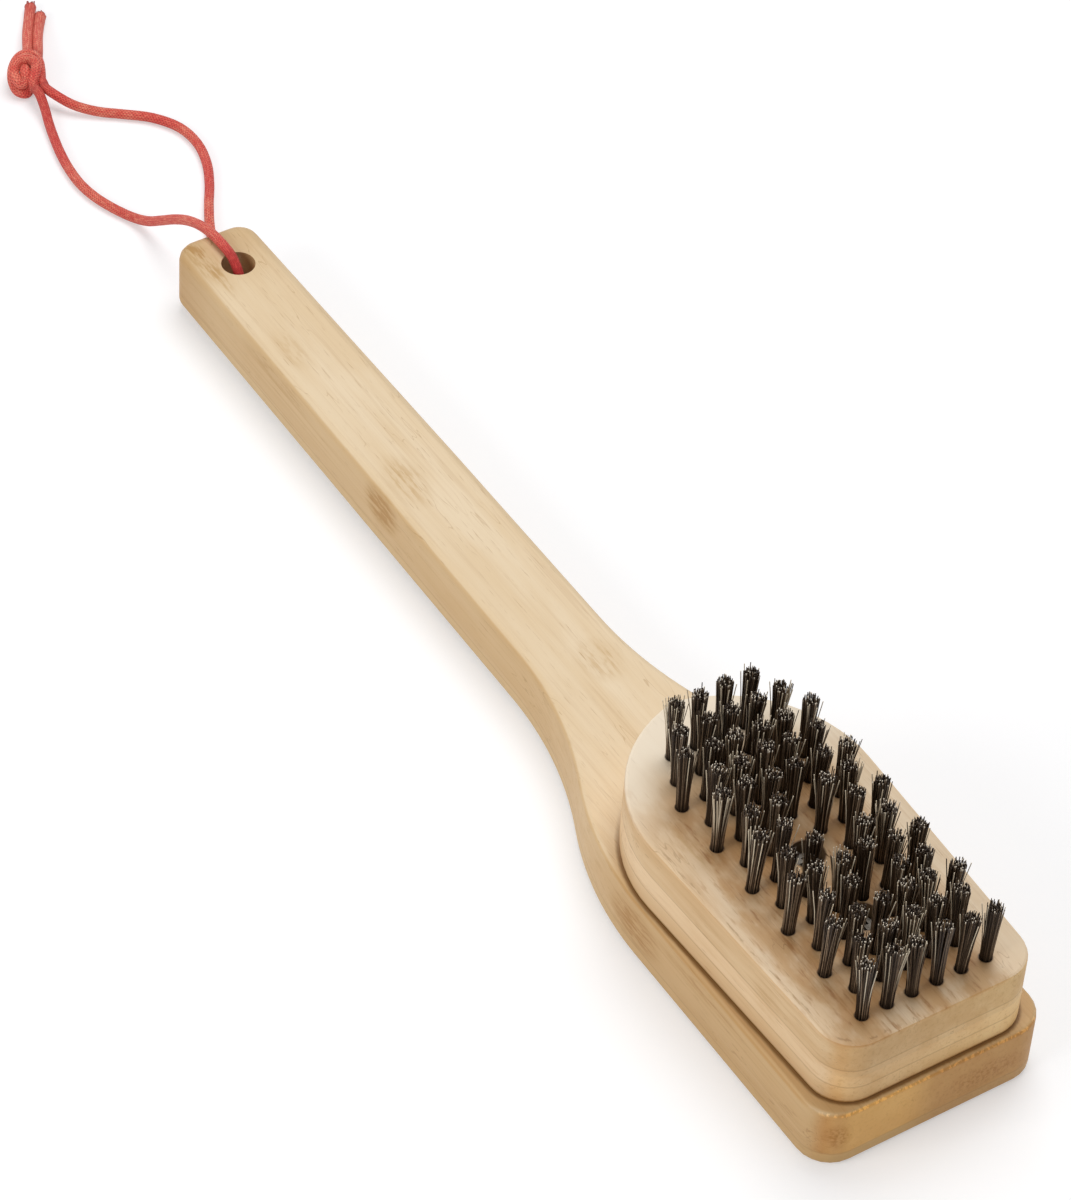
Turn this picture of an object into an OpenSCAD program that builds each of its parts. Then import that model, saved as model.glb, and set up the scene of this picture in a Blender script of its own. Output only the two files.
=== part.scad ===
// Long-handled grill brush, lying on its back with the wires up.
//
// One board makes the handle, the flare and the paddle. A thick block sits on the
// paddle and carries staggered tufts of steel wire. A cord loop through the handle's
// end hangs the brush up. One leg of that loop runs under the handle's end, so the
// wood leans on it by half a degree.
//
// Frame: X runs along the brush, with the paddle's front at +X and the handle's end
// at -X. Y runs across it and Z is up. The origin is on the floor, under the middle of
// the wood. Sub-parts are drawn in the board's own frame, where X is 0 at the paddle's
// front and Z is 0 at the board's back, and in_place() puts them where they rest.

/* [Board] */
// Overall length of the board
board_len = 457; // [420:1:520]
// Thickness of the board
board_t = 24.5; // [20:0.5:30]
// Width of the handle at its end
end_w = 32; // [26:0.5:34]
// Width of the handle where the flare starts
neck_w = 34.6; // [30:0.2:40]
// Width of the paddle
paddle_w = 88; // [84:1:110]
// Straight length of the paddle, from its front to the shoulder
paddle_len = 104; // [90:1:130]
// Length of the flare between the handle and the shoulder
flare_len = 118; // [90:1:140]
// Radius of the hollow side of the flare, next to the handle
neck_r = 146; // [90:1:170]
// Radius of the paddle's front corners, in plan
front_corner_r = 12; // [6:0.5:20]
// Radius of the handle's end corners, in plan
end_corner_r = 8; // [6:0.5:11]

/* [Eased edges] */
// Rounding of the top edge at the handle's end
end_edge_r = 5; // [2:0.5:6]
// Rounding of the top edge along the handle
handle_edge_r = 2.5; // [1:0.5:4]
// Rounding of the paddle's top edge
paddle_edge_r = 1.5; // [0.5:0.5:3]
// Rounding of the edge round the board's back
back_edge_r = 2; // [0.5:0.5:3]
// Length over which the handle's softer end fades out
end_fade = 150; // [80:5:180]

/* [Hanging hole] */
// Diameter of the hanging hole
hang_hole_d = 12.5; // [9:0.5:15]
// Distance from the handle's end to the hole's middle
hang_hole_in = 21; // [18:0.5:30]

/* [Brush block] */
// Thickness of the block
block_t = 27.5; // [20:0.5:34]
// Length of the block
block_len = 151; // [146:1:156]
// Width of the block at its shoulders
block_w = 84; // [80:1:90]
// Distance from the paddle's front to the block's front
block_setback = 2.7; // [1:0.1:6]
// Taper of each side towards the front, in degrees
side_taper = 2; // [0:0.25:3]
// Radius of the block's front corners, in plan
block_corner_r = 13; // [8:0.5:18]
// Radius of the curved shoulders at the back
shoulder_r = 51; // [47:1:58]
// Radius of the blunt nose at the back
nose_r = 20; // [10:1:26]
// Easing of the block's top edge
block_edge_r = 1; // [0.5:0.25:2]
// Chamfer that leaves the fine joint line above the board
joint_ease = 0.5; // [0.25:0.25:1]

/* [Tufts] */
// Spacing of the tufts across the block
tuft_pitch = 9.5; // [8.5:0.1:10]
// Spacing of the rows along the block
row_pitch = 10; // [8:0.1:10.2]
// Distance from the paddle's front to the first row
first_row_in = 13.5; // [11:0.5:14.5]
// Diameter of each tuft hole
tuft_hole_d = 4.3; // [3.6:0.1:5]
// Depth of each tuft hole
tuft_hole_depth = 13; // [9:0.5:17]
// Height of the wires above the block
tuft_h = 26; // [18:0.5:34]
// Diameter of one wire bundle strand
wire_d = 0.7; // [0.5:0.05:0.7]
// Spread of a tuft, as growth of its outer radius for each mm of height
tuft_spread = 0.0175; // [0:0.0025:0.03]
// How unevenly the wires are cut
tip_scatter = 0.9; // [0:0.1:2]

/* [Block screws] */
// Distance from the paddle's front to the first screw
screw_1_in = 46.5; // [45:0.25:48]
// Distance from the paddle's front to the second screw
screw_2_in = 77; // [75:0.25:79]
// Diameter of the recess over each screw
recess_d = 11.4; // [9:0.2:11.6]
// Depth of the recess over each screw
recess_depth = 7; // [4:0.5:10]
// Diameter of a screw's head
screw_head_d = 8; // [6:0.5:8.5]
// Height of a screw's head
screw_head_h = 2.8; // [2:0.2:3.6]
// Diameter of a screw's shank
screw_d = 4; // [3:0.5:5]
// Length of a screw under its head
screw_len = 35; // [30:1:40]

/* [Cord] */
// Diameter of the hanging cord
cord_d = 3.8; // [3.8:0.1:3.8]

/* [Hidden] */

$fn = 48;

bamboo = [0.86, 0.74, 0.56];
bamboo_dark = [0.78, 0.62, 0.42];
steel_dark = [0.20, 0.16, 0.13];
steel_grey = [0.45, 0.45, 0.46];
cord_red = [0.80, 0.22, 0.22];

// Running clearance of a screw or wire in its hole, and the overlap of a cut
fit_gap = 0.1;
cut = 1;

// How the wood leans on the cord that runs under the handle's end
lean_span = board_len - hang_hole_in + hang_hole_d / 2;
lean = asin(cord_d / lean_span);
middle_x = (board_len * cos(lean) - board_t * sin(lean)) / 2;
settle = back_edge_r * sin(lean);

// Moves a sub-part from the board's frame to where it rests
module in_place()
    translate([middle_x, 0, -settle])
        rotate([0, lean, 0])
            children();

// Outlines in plan
// A station is [x, y, nx, ny]: a point of the outline and its outward direction.
// A negative radius makes a hollow arc, whose outward direction points to its centre.

function arc_stations(centre, radius, from, to, steps) = [
    for (i = [0 : steps])
        let (a = from + (to - from) * i / steps)
        [centre.x + radius * cos(a), centre.y + radius * sin(a), cos(a), sin(a)]
];

// The stations between two ends of a straight stretch, ends left out
function line_stations(a, b, steps) = [
    for (i = [1 : steps - 1])
        a + (b - a) * i / steps
];

// A half outline on the +Y side, from the front to the back, closed over the X axis
function both_sides(half) = concat(
    half,
    [for (i = [len(half) - 1 : -1 : 0]) [half[i].x, -half[i].y, half[i][2], -half[i][3]]]
);

// Faces of a stack of rings, each of n points that run anticlockwise from above. An outline
// is the same on both sides, so its two ends are closed by strips from side to side.
function skin_faces(n, rings) = concat(
    [for (i = [0 : n / 2 - 2]) [i, i + 1, n - 2 - i, n - 1 - i]],
    [
        for (j = [0 : rings - 2], i = [0 : n - 1])
            let (a = j * n + i, b = j * n + (i + 1) % n)
            each [[a, a + n, b + n], [a, b + n, b]]
    ],
    [
        for (i = [0 : n / 2 - 2])
            let (top = (rings - 1) * n)
            [top + n - 1 - i, top + n - 2 - i, top + i + 1, top + i]
    ]
);

// A slab with an eased edge at its back and a rounding at its top that may change from
// station to station
module eased_slab(stations, thickness, back_r, top_rs, steps) {
    back_rings = [
        for (j = [0 : steps])
            let (a = 90 * j / steps, inset = back_r * (1 - sin(a)))
            [for (s = stations) [s.x - inset * s[2], s.y - inset * s[3], back_r * (1 - cos(a))]]
    ];
    top_rings = [
        for (j = [0 : steps])
            let (a = 90 * j / steps)
            [
                for (k = [0 : len(stations) - 1])
                    let (s = stations[k], r = top_rs[k], inset = r * (1 - cos(a)))
                    [s.x - inset * s[2], s.y - inset * s[3], thickness - r * (1 - sin(a))]
            ]
    ];
    rings = concat(back_rings, top_rings);
    polyhedron(
        points = [for (ring = rings) each ring],
        faces = skin_faces(len(stations), len(rings))
    );
}

// Handle board

flare_turn = 2 * atan((paddle_w - neck_w) / 2 / flare_len);
flare_shoulder_r = flare_len / sin(flare_turn) - neck_r;
neck_x = -paddle_len - flare_len;

board_half = concat(
    arc_stations([-front_corner_r, paddle_w / 2 - front_corner_r], front_corner_r, 0, 90, 6),
    arc_stations([-paddle_len, paddle_w / 2 - flare_shoulder_r], flare_shoulder_r, 90, 90 + flare_turn, 14),
    arc_stations([neck_x, neck_w / 2 + neck_r], -neck_r, 90 + flare_turn * 13 / 14, 90, 13),
    line_stations(
        [neck_x, neck_w / 2, 0, 1],
        [end_corner_r - board_len, end_w / 2, 0, 1],
        10
    ),
    arc_stations([end_corner_r - board_len, end_w / 2 - end_corner_r], end_corner_r, 90, 180, 8)
);
board_outline = both_sides(board_half);

function board_edge_r(x) = lookup(x, [
    [-board_len, end_edge_r],
    [end_fade - board_len, handle_edge_r],
    [neck_x, handle_edge_r],
    [-paddle_len, paddle_edge_r]
]);

// What a drill takes out from Z 0 down
module drilled(d, depth)
    translate([0, 0, -depth])
        cylinder(h = depth + cut, d = d);

module handle_board()
    color(bamboo)
        in_place()
            difference() {
                eased_slab(
                    board_outline,
                    board_t,
                    back_edge_r,
                    [for (s = board_outline) board_edge_r(s.x)],
                    4
                );
                translate([hang_hole_in - board_len, 0, -cut])
                    cylinder(h = board_t + 2 * cut, d = hang_hole_d);
                for (x = screw_xs)
                    translate([x, 0, board_t])
                        drilled(screw_d + fit_gap, screw_board_depth + fit_gap);
            }

// Brush block

block_front_x = -block_setback;
block_back_x = block_front_x - block_len;
taper_dir = [sin(side_taper), cos(side_taper)];

// The nose's middle, the shoulder arcs' middle and where they meet the straight side
nose_mid = [block_back_x + nose_r, 0];
shoulder_mid_y = block_w / 2 - shoulder_r;
shoulder_mid = [
    nose_mid.x + sqrt(pow(shoulder_r - nose_r, 2) - pow(shoulder_mid_y, 2)),
    shoulder_mid_y
];
nose_turn = asin(-shoulder_mid.y / (shoulder_r - nose_r));
side_start = shoulder_mid + shoulder_r * taper_dir;
block_corner_x = block_front_x - block_corner_r;
block_corner_y = side_start.y
    - (block_corner_r + taper_dir.x * (block_corner_x - side_start.x)) / taper_dir.y;

block_outline = both_sides(concat(
    arc_stations([block_corner_x, block_corner_y], block_corner_r, 0, 90 - side_taper, 8),
    arc_stations(shoulder_mid, shoulder_r, 90 - side_taper, 180 - nose_turn, 14),
    arc_stations(nose_mid, nose_r, 180 - nose_turn * 2 / 3, 180 - nose_turn / 3, 1)
));

block_top_z = board_t + block_t;

module brush_block()
    color(bamboo_dark)
        in_place()
            difference() {
                translate([0, 0, board_t])
                    eased_slab(
                        block_outline,
                        block_t,
                        joint_ease,
                        [for (s = block_outline) block_edge_r],
                        2
                    );
                for (row = [0 : rows - 1], place = row_places(row))
                    translate([place.x, place.y, block_top_z])
                        drilled(tuft_hole_d, tuft_hole_depth);
                for (x = screw_xs)
                    translate([x, 0, block_top_z]) {
                        drilled(recess_d, recess_depth);
                        drilled(screw_d + 2 * fit_gap, block_t + cut);
                    }
            }

// Screws that hold the block to the board

screw_xs = [-screw_1_in, -screw_2_in];
screw_seat_z = block_top_z - recess_depth;
screw_board_depth = screw_len - (block_t - recess_depth);
slot_w = 1.1;
slot_depth = 1.2;
slot_len = 0.6 * screw_head_d;

module block_screw()
    difference() {
        union() {
            cylinder(h = screw_head_h, d = screw_head_d);
            translate([0, 0, -screw_len])
                cylinder(h = screw_len + cut, d = screw_d);
        }
        for (turn = [0, 90])
            rotate([0, 0, turn])
                translate([-slot_len / 2, -slot_w / 2, screw_head_h - slot_depth])
                    cube([slot_len, slot_w, slot_depth + cut]);
    }

module block_screws()
    color(steel_grey)
        in_place()
            for (x = screw_xs)
                translate([x, 0, screw_seat_z])
                    block_screw();

// Tufts of wire
// Rows of six and rows of five alternate, and the last row has four.

rows = 13;

function row_x(row) = -first_row_in - row * row_pitch;

function row_count(row) = row == rows - 1 ? 4 : row % 2 == 0 ? 6 : 5;

// The least wood between a tuft hole and a screw's recess
rim_wood = 0.4;
clear_of_recess = recess_d / 2 + tuft_hole_d / 2 + rim_wood;

// True where a screw's recess takes the tuft's place
function is_displaced(x, y) =
    len([for (s = screw_xs) if (norm([x - s, y]) < clear_of_recess) s]) > 0
    || (y == 0 && x < screw_xs[0] - row_pitch && x > screw_xs[1]);

function row_places(row) = [
    for (i = [0 : row_count(row) - 1])
        let (x = row_x(row), y = (i - (row_count(row) - 1) / 2) * tuft_pitch)
        if (!is_displaced(x, y)) [x, y]
];

// Rings of strands in a tuft: each one's radius in strand widths, its strands, and how many
// strands are inside it. Each next tuft is turned a few degrees more.
strand_rings = [[0, 1, 0], [1.07, 6, 1], [2.08, 12, 7]];
outer_ring = strand_rings[2];
strands = outer_ring[1] + outer_ring[2];
turn_step = 7;
anchor_h = 2.6;
anchor_w = 3.6;
anchor_t = 1.2;
strand_foot = -tuft_hole_depth + anchor_h + fit_gap;

// One tuft, with its foot in the hole and its strands spreading a little upwards
module tuft(seed) {
    scatter = rands(-tip_scatter, 0, strands, seed);
    for (ring = strand_rings, i = [0 : ring[1] - 1]) {
        tip = tuft_h + scatter[ring[2] + i];
        rotate([0, 0, 360 * i / ring[1] + turn_step * seed])
            translate([ring[0] * wire_d, 0, strand_foot])
                rotate([0, atan(tuft_spread * ring[0] / outer_ring[0]), 0])
                    cylinder(h = tip - strand_foot, d = wire_d, $fn = 16);
    }
}

module tuft_row(row)
    color(steel_dark)
        in_place() {
            places = row_places(row);
            for (i = [0 : len(places) - 1])
                translate([places[i].x, places[i].y, block_top_z])
                    tuft(10 * row + i + 1);
        }

// The flat anchors at the bottom of the tuft holes
module tuft_anchors()
    color(steel_grey)
        in_place()
            for (row = [0 : rows - 1], place = row_places(row))
                translate([place.x - anchor_w / 2, place.y - anchor_t / 2, block_top_z - tuft_hole_depth])
                    cube([anchor_w, anchor_t, anchor_h]);

// Hanging cord
// The route's points are in the resting frame. It leaves the knot, climbs onto the
// handle's end, goes down through the hole and comes back under the handle.

cord_r = cord_d / 2;
cord_sides = 8;

cord_route = [
    [-355.5, -4, 6.5], [-351.5, -4, 6.5], [-345.5, -5, 4.2], [-338.5, -7, 2.4],
    [-330.5, -9.2, 1.9], [-321.5, -11.4, 1.9], [-312, -13, 1.9], [-302, -13.6, 1.9],
    [-292.5, -12.4, 1.9], [-283.5, -9.6, 1.9], [-275.5, -6.2, 2.2], [-267.5, -4, 5.2],
    [-258.5, -2.9, 11.8], [-250, -2.3, 18.4], [-241, -1.8, 24.3], [-232, -1.5, 28.4],
    [-223, -1.2, 30.4], [-213.5, -1, 30.3], [-209, -1, 29], [-205.7, -1, 25.8],
    [-204.5, -1, 21.3], [-204.5, -1, 10.9], [-205.7, -0.6, 6.4], [-208.8, 0.3, 3.1],
    [-213, 1.6, 1.9], [-222, 4.4, 1.9], [-232, 7.6, 1.9], [-243.5, 11.3, 1.9],
    [-256, 16.2, 1.9], [-268, 22.6, 1.9], [-278, 28.6, 1.9], [-289, 33.8, 1.9],
    [-301, 36.6, 1.9], [-312.5, 35.4, 1.9], [-322.5, 29.4, 1.9], [-330, 20.6, 1.9],
    [-336, 12.4, 2.3], [-342.5, 5.2, 4], [-351.5, 0, 6.5], [-355.5, 0, 6.5]
];

function unit(v) = v / norm(v);

// The direction of a route at each of its points
function route_dirs(route) = [
    for (i = [0 : len(route) - 1])
        unit(route[min(i + 1, len(route) - 1)] - route[max(i - 1, 0)])
];

// A tube of one diameter along a route, as one closed polyhedron. Each ring's first
// side is carried on from the ring before, so that the tube doesn't twist.
module tube(route, radius, sides) {
    dirs = route_dirs(route);
    first = unit(cross(dirs[0], [0.1, 0.2, 1]));
    sideways = [
        for (i = 0, s = first; i < len(route); i = i + 1,
            s = i < len(route) ? unit(s - (s * dirs[i]) * dirs[i]) : s)
            s
    ];
    points = [
        for (i = [0 : len(route) - 1], k = [0 : sides - 1])
            let (a = 360 * k / sides, across = sideways[i], over = cross(dirs[i], across))
            route[i] + radius * (cos(a) * across + sin(a) * over)
    ];
    polyhedron(points = points, faces = skin_faces(sides, len(route)));
}

module hang_cord()
    color(cord_red)
        tube(cord_route, cord_r, cord_sides);

// Knot and tails of the cord

knot_mid = [-364.5, -2, 7];
knot_half = [11, 7.4, 7];
knot_turn = 150;
mouth = 9;
knot_steps = 24;

// Which way a point of the knot's ball lies, by its turn and its rise
function ball_dir(turn, rise) = [cos(turn) * cos(rise), sin(turn) * cos(rise), sin(rise)];

// How far the knot's surface is from its middle: an egg with its long axis along the
// cord, cut flat where the legs leave it and where the tails leave it
function knot_reach(d) =
    let (
        along = d.x * cos(knot_turn) + d.y * sin(knot_turn),
        across = d.y * cos(knot_turn) - d.x * sin(knot_turn),
        egg = 1 / norm([along / knot_half.x, across / knot_half.y, d.z / knot_half.z]),
        to_legs = d.x > 0.01 ? mouth / d.x : 2 * mouth,
        to_tails = along > 0.01 ? mouth / along : 2 * mouth
    )
    min(egg, to_legs, to_tails);

module cord_knot()
    color(cord_red) {
        levels = knot_steps / 2 - 1;
        rings = [
            for (j = [1 : levels])
                [
                    for (i = [0 : knot_steps - 1])
                        let (d = ball_dir(360 * i / knot_steps, 180 * j / (levels + 1) - 90))
                        knot_mid + d * knot_reach(d)
                ]
        ];
        polyhedron(
            points = [for (ring = rings) each ring],
            faces = skin_faces(knot_steps, levels)
        );
    }

tail_dir = [cos(knot_turn), sin(knot_turn), 0];
tail_side = [-sin(knot_turn), cos(knot_turn), 0];

// Where a tail leaves the knot, and its next point, straight out of the knot
function tail_root(side, out) =
    knot_mid + (mouth + out) * tail_dir + side * tail_side + [0, 0, -0.5];

long_tail = [
    tail_root(0.4, 0), tail_root(0.4, 4),
    [-388, 10.6, 4.6], [-398, 16.6, 2.4], [-407, 22.4, 1.9]
];
short_tail = [
    tail_root(-3.6, 0), tail_root(-3.6, 4),
    [-383.5, 12.6, 4.8], [-390.5, 17.8, 2.8], [-398, 23.4, 1.9]
];

module cord_tails()
    color(cord_red) {
        tube(long_tail, cord_r, cord_sides);
        tube(short_tail, cord_r, cord_sides);
    }

handle_board();
brush_block();
block_screws();
tuft_anchors();
for (row = [1 : rows])
    tuft_row(row - 1);
hang_cord();
cord_knot();
cord_tails();
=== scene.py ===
# %% [markdown]
# # A bamboo grill brush, dressed over its CAD frame
# The CAD model gives every part its place. This notebook adds what a hand feels and an eye sees:
# the sanded bamboo with its fibres and node marks, sixty-five tufts of wire, the screws, and a
# braided red hanging cord that is knotted beyond the end of the handle.

# %% Load the frame
import math
import random

import bmesh
import bpy
from mathutils import Matrix, Vector


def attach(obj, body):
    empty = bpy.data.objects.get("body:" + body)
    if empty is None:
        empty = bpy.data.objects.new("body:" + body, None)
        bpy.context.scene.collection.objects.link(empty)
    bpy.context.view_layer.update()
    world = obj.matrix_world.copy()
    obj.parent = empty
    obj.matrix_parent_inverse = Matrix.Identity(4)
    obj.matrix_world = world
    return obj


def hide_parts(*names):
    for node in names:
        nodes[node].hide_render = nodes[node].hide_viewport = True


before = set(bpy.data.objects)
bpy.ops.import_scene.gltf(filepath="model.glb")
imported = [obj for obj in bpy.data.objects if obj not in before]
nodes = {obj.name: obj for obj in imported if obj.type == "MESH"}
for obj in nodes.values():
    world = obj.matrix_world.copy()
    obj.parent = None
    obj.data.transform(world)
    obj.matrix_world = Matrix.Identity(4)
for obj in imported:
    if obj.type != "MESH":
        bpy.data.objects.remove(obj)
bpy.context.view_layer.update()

# %% [markdown]
# ## The camera
# The photograph is taken from above, over the front corner of the brush, with a long lens. The
# camera is therefore placed by a matrix of its own right, up and back directions.

# %% Camera at the photograph's viewing angle
camera_place = (0.97696, -0.69510, 1.22350)
right = Vector((0.5373, 0.8420, 0.0474))
up = Vector((-0.6122, 0.3509, 0.7086))
back = Vector((0.5800, -0.4097, 0.7040))
bpy.ops.object.select_all(action="DESELECT")
bpy.ops.object.camera_add(location=camera_place)
camera = bpy.context.object
camera_turn = Matrix((right, up, back)).transposed().to_4x4()
camera.matrix_world = Matrix.Translation(camera_place) @ camera_turn
camera.data.lens = 150
camera.data.sensor_width = 36
camera.data.clip_end = 20
bpy.context.scene.camera = camera
print("camera looks along", [round(c, 4) for c in -back])

# %% [markdown]
# ## Small tools for the whole notebook
# Operators act on all that is selected, so each piece starts with nothing selected. A finished
# piece rides with the wood and stands in for its CAD node.

# %% Helpers for selecting and finishing
MM = 0.001


def only(*chosen):
    """Select these objects and nothing else, with the first one active."""
    bpy.ops.object.select_all(action="DESELECT")
    for piece in chosen:
        piece.select_set(True)
    bpy.context.view_layer.objects.active = chosen[0]


def joined(parts, name):
    """Join these objects into one piece of that name."""
    only(*parts)
    if len(parts) > 1:
        bpy.ops.object.join()
    piece = bpy.context.object
    piece.name = piece.data.name = name
    return piece


def twin(source, name, place=Matrix.Identity(4)):
    """A copy with a mesh of its own, moved by a matrix that goes into the mesh."""
    piece = source.copy()
    piece.data = source.data.copy()
    piece.name = piece.data.name = name
    piece.data.transform(place)
    piece.parent = None
    bpy.context.scene.collection.objects.link(piece)
    return piece


def finished(piece, slot, *stands_for):
    """Let a piece ride with the wood in the place of these CAD nodes."""
    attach(piece, "root")
    if stands_for:
        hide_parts(*stands_for)
    print(piece.name, len(piece.data.polygons), "faces for", ", ".join(stands_for) or "no node")


# %% [markdown]
# ## Sums between sockets
# A material's pattern is worked out with numbers that change over the surface. Wrapping a socket
# in a small class lets Python's own + - * / and comparisons add the Math nodes, so that a pattern
# reads as a formula.

# %% The socket wrapper
class Flow:
    """An output socket that Python can do sums with."""

    def __init__(self, socket):
        self.socket = socket

    def node(self, kind, settings=(), sockets=(), out=0):
        """Any node in the same tree: its settings, a ramp's stops among them, then its sockets."""
        tree = self.socket.id_data
        made = tree.nodes.new(kind)
        for key, value in dict(settings).items():
            if key == "stops":
                ramp = made.color_ramp.elements
                while len(ramp) < len(value):
                    ramp.new(1.0)
                for element, (place, colour) in zip(ramp, value):
                    element.position = place
                    element.color = (*colour, 1.0)
            else:
                setattr(made, key, value)
        for key, value in dict(sockets).items():
            if isinstance(value, Flow):
                tree.links.new(value.socket, made.inputs[key])
            else:
                made.inputs[key].default_value = value
        return Flow(made.outputs[out])

    def sums(self, operation, *values):
        """One Math node on this socket and these values."""
        return self.node("ShaderNodeMath", {"operation": operation}, enumerate((self, *values)))

    def __add__(self, other):
        return self.sums("ADD", other)

    __radd__ = __add__

    def __mul__(self, other):
        return self.sums("MULTIPLY", other)

    __rmul__ = __mul__

    def __sub__(self, other):
        return self.sums("SUBTRACT", other)

    def __rsub__(self, other):
        return (self * -1) + other

    def __truediv__(self, other):
        return self.sums("DIVIDE", other)

    def __pow__(self, other):
        return self.sums("POWER", other)

    def __gt__(self, other):
        return self.sums("GREATER_THAN", other)

    def __abs__(self):
        return self.sums("ABSOLUTE")


# %% [markdown]
# The finishes share a few words, so that each of them stays short: a soft step between two
# values, a blend of two colours, a noise, and the parts of a vector.

# %% Words for patterns and colours
def fade(value, low, high):
    """0 where a value is at or below low, 1 where it is at or above high, smooth between."""
    return value.node(
        "ShaderNodeMapRange",
        {"interpolation_type": "SMOOTHSTEP"},
        {"Value": value, "From Min": low, "From Max": high},
    )


# A Mix node repeats its sockets for each type of value; these are the ones for colours.
FACTOR, FIRST, SECOND, RESULT = 0, 6, 7, 2


def blended(factor, first, second, kind="MIX"):
    """The first colour where the factor is 0, the second where it is 1."""
    first, second = (c if isinstance(c, Flow) else (*c, 1.0) for c in (first, second))
    settings = {"data_type": "RGBA", "blend_type": kind}
    return factor.node(
        "ShaderNodeMix", settings, {FACTOR: factor, FIRST: first, SECOND: second}, RESULT
    )


def tinted(factor, colour, tint):
    """The colour multiplied by a tint where the factor is 1."""
    return blended(factor, colour, tint, "MULTIPLY")


def new_material(name, **constants):
    """A material, its shader with these constants on its own sockets, and its Object coordinates."""
    material = bpy.data.materials.new(name)
    material.use_nodes = True
    shader = material.node_tree.nodes["Principled BSDF"]
    for key, value in constants.items():
        shader.inputs[key.replace("_", " ")].default_value = value
    place = Flow(material.node_tree.nodes.new("ShaderNodeTexCoord").outputs["Object"])
    return material, shader, place


def feed(shader, **flows):
    """Link what changes over the surface to the shader."""
    for key, flow in flows.items():
        shader.id_data.links.new(flow.socket, shader.inputs[key.replace("_", " ")])


def relief(flow, depth, strength=1.0):
    """A Bump node's normal for a height pattern, with its depth in metres."""
    return flow.node("ShaderNodeBump", {}, {"Height": flow, "Distance": depth, "Strength": strength})


def parts_of(vector):
    """The x, y and z of a vector."""
    split = vector.node("ShaderNodeSeparateXYZ", {}, {0: vector})
    return [Flow(part) for part in split.socket.node.outputs]


def attribute(place, name, out):
    """An attribute that the mesh carries: its vector with out=1, its number with out=2."""
    return place.node("ShaderNodeAttribute", {"attribute_name": name}, {}, out)


def stretched(place, scale, shift=0.0):
    """Coordinates with a scale for each axis, and shifted, so that no two noises are alike."""
    sockets = {"Vector": place, "Scale": scale, "Location": (shift, shift, shift)}
    return place.node("ShaderNodeMapping", {}, sockets)


def noise(place, scale=1.0, detail=2.0, **more):
    """A noise with that many features for each unit of the coordinates."""
    sockets = {"Vector": place, "Scale": scale, "Detail": detail, **more}
    return place.node("ShaderNodeTexNoise", {}, sockets)


def seen(tree):
    """1 for what the camera, a gloss or a glass sees, 0 for the light that falls on the object."""
    ray = tree.nodes.new("ShaderNodeLightPath")
    by_camera, by_gloss, by_glass = (
        Flow(ray.outputs[f"Is {kind} Ray"]) for kind in ("Camera", "Glossy", "Transmission")
    )
    return by_camera.sums("MAXIMUM", by_gloss).sums("MAXIMUM", by_glass)


# %% [markdown]
# ## The red hanging cord
# A braided cord of about 4 mm goes through the hole in the handle, and both legs meet in a knot.
# It lies on the table under its own weight, so its line is a route of points, the same one as in
# the CAD source: out of the knot, along the table, up over the handle's end, down through the
# hole and back along the table. A curve with a round bevel follows it and becomes a mesh, which
# keeps the lengthwise UV map that the braid's pattern needs.

# %% The cord's route, in millimetres
CORD = 3.8
over_leg = [
    (-355.5, -4, 6.5), (-351.5, -4, 6.5), (-345.5, -5, 4.2), (-338.5, -7, 2.4), (-330.5, -9.2, 1.9),
    (-321.5, -11.4, 1.9), (-312, -13, 1.9), (-302, -13.6, 1.9), (-292.5, -12.4, 1.9),
    (-283.5, -9.6, 1.9), (-275.5, -6.2, 2.2), (-267.5, -4, 5.2), (-258.5, -2.9, 11.8),
    (-250, -2.3, 18.4), (-241, -1.8, 24.3), (-232, -1.5, 28.4), (-223, -1.2, 30.4),
    (-213.5, -1, 30.3), (-209, -1, 29), (-205.7, -1, 25.8), (-204.5, -1, 21.3),
]
under_leg = [
    (-204.5, -1, 10.9), (-205.7, -0.6, 6.4), (-208.8, 0.3, 3.1), (-213, 1.6, 1.9), (-222, 4.4, 1.9),
    (-232, 7.6, 1.9), (-243.5, 11.3, 1.9), (-256, 16.2, 1.9), (-268, 22.6, 1.9), (-278, 28.6, 1.9),
    (-289, 33.8, 1.9), (-301, 36.6, 1.9), (-312.5, 35.4, 1.9), (-322.5, 29.4, 1.9),
    (-330, 20.6, 1.9), (-336, 12.4, 2.3), (-342.5, 5.2, 4), (-351.5, 0, 6.5), (-355.5, 0, 6.5),
]
cord_route = [Vector(p) * MM for p in over_leg + under_leg]
print("cord route:", len(cord_route), "points")


# %% A smooth line through points, and a tube round it
def smooth_line(points, steps):
    """A Catmull-Rom line through the points, with that many steps between each two."""
    padded = [points[0] * 2 - points[1], *points, points[-1] * 2 - points[-2]]
    line = []
    for a, b, c, d in zip(padded, padded[1:], padded[2:], padded[3:]):
        for i in range(steps):
            t = i / steps
            line.append(
                b + (c - a) * (0.5 * t) + (a * 2 - b * 5 + c * 4 - d) * (0.5 * t * t)
                + (b * 3 - a - c * 3 + d) * (0.5 * t**3)
            )
    return line + [points[-1]]


def length_of(line):
    """A line's length from point to point."""
    return sum((b - a).length for a, b in zip(line, line[1:]))


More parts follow.
